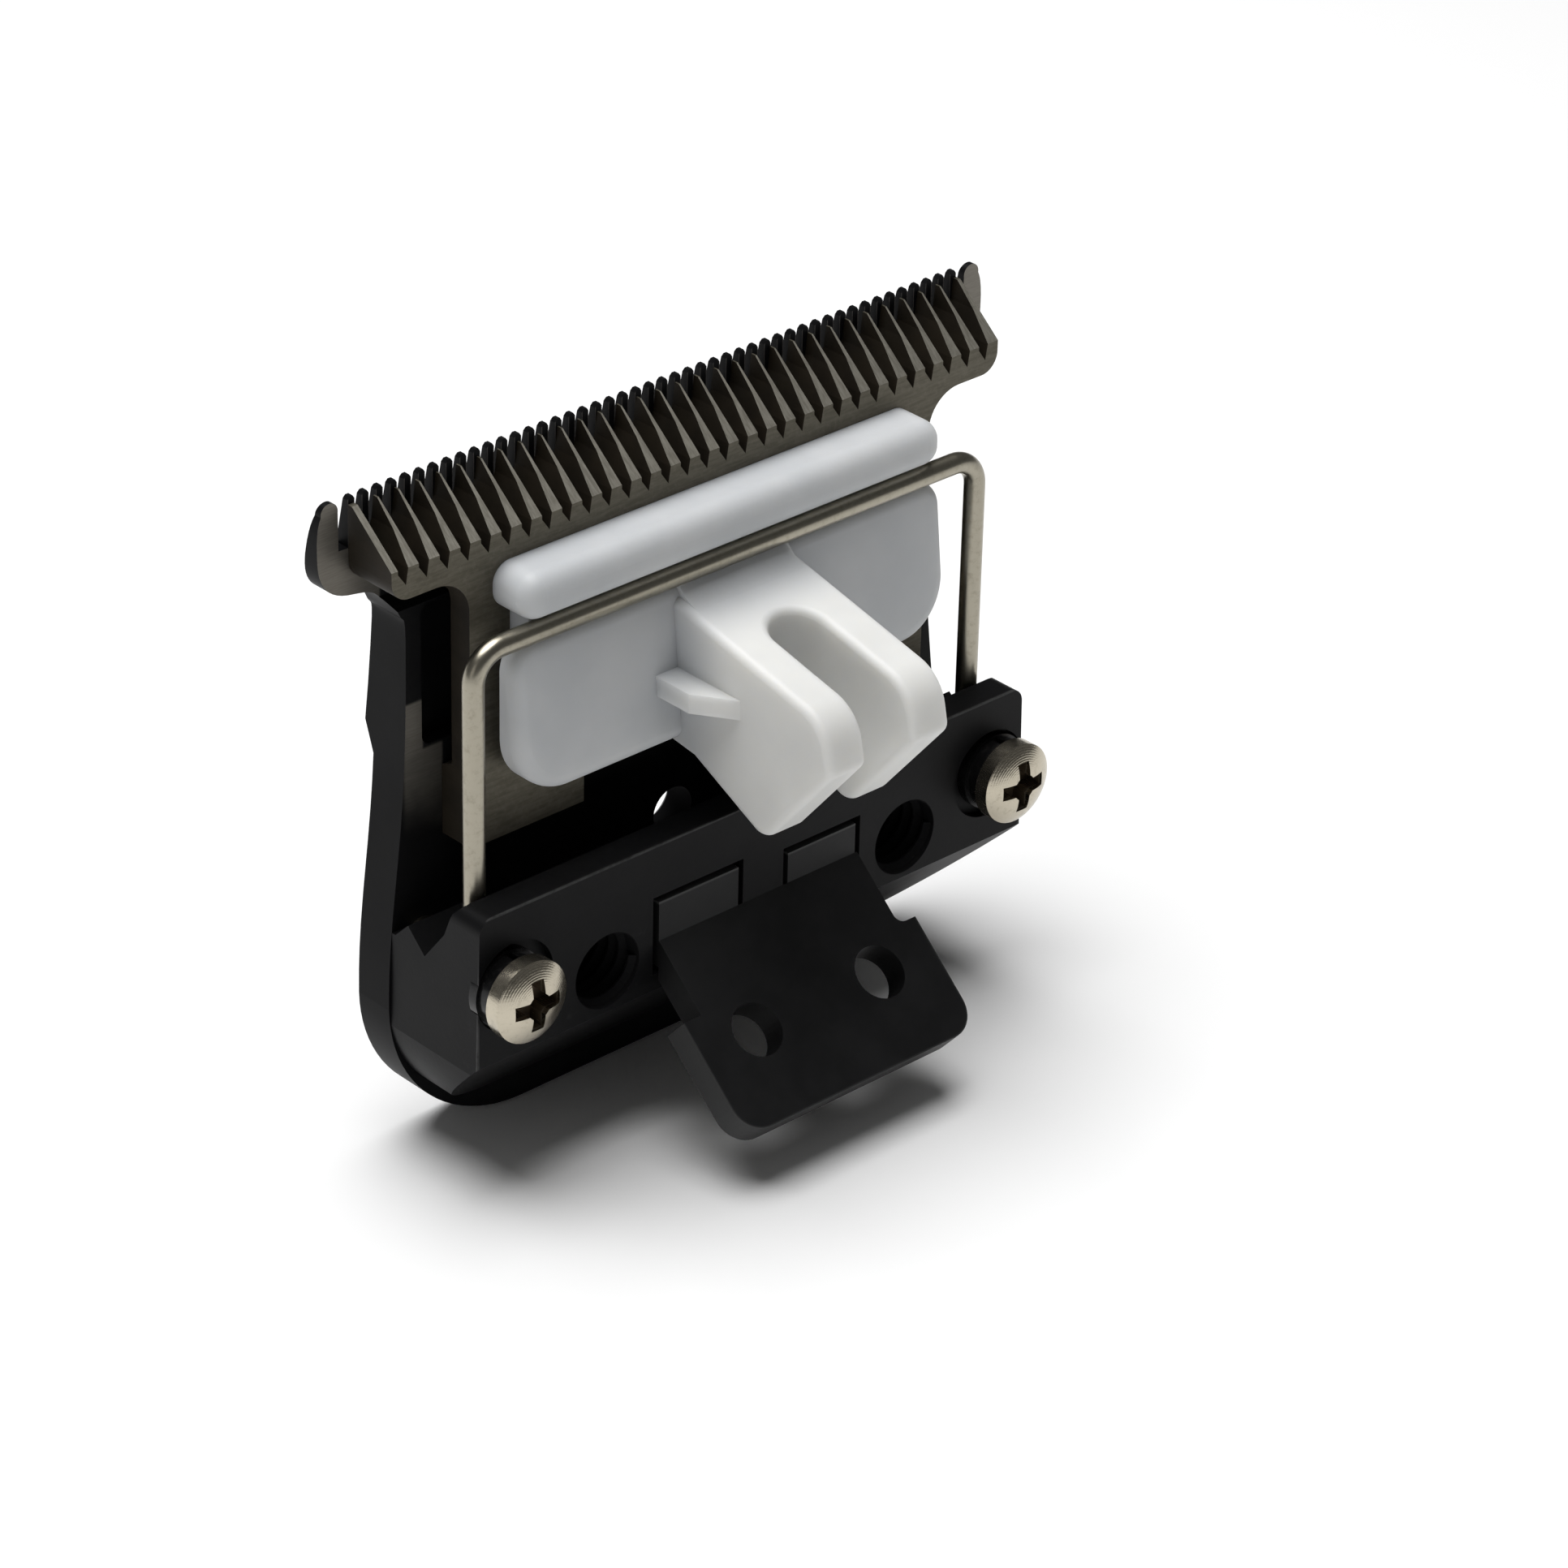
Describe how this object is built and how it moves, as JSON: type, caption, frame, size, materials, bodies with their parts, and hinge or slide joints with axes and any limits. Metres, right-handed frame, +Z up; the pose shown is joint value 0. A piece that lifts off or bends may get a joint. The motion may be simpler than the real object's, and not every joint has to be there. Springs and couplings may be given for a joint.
{
  "type": "hair trimmer blade set",
  "caption": "Wide trimmer blade set: a fixed comb, a sliding toothed cutter, a white drive block with a fork, a wire spring and a black mounting block with a tab.",
  "frame": {"origin": "centre of the bounding box in plan, at the bottom edge of the fixed blade", "axes": "+X along the tooth row, +Z up to the tooth tips, -Y out of the side that carries the drive block"},
  "size_m": [0.0406, 0.0175, 0.0344],
  "materials": {
    "fixed_blade": "satin black coat, ground bare steel on the rubbing faces",
    "moving_blade": "dark ground steel",
    "drive_block": "milky white moulded plastic",
    "tension_spring": "drawn nickelled wire",
    "bracket": "black satin moulding",
    "mounting_tab": "black coated sheet",
    "screw_left": "nickelled, with light scratches",
    "screw_right": "nickelled, with light scratches",
    "spring_washer_left": "black oxide",
    "spring_washer_right": "black oxide",
    "flat_washer_left": "black oxide",
    "flat_washer_right": "black oxide"
  },
  "bodies": {
    "base": {"fixed_blade": "fixed_blade", "bracket": "bracket", "mounting_tab": "mounting_tab", "tension_spring": "tension_spring", "screw_left": "screw_left", "screw_right": "screw_right", "spring_washer_left": "spring_washer_left", "spring_washer_right": "spring_washer_right", "flat_washer_left": "flat_washer_left", "flat_washer_right": "flat_washer_right"},
    "cutter": {"moving_blade": "moving_blade", "drive_block": "drive_block"}
  },
  "joints": [
    {"name": "cutter_slide", "type": "slide", "parent": "base", "child": "cutter", "axis": [1, 0, 0], "range_m": [-0.0015, 0.0015]}
  ]
}
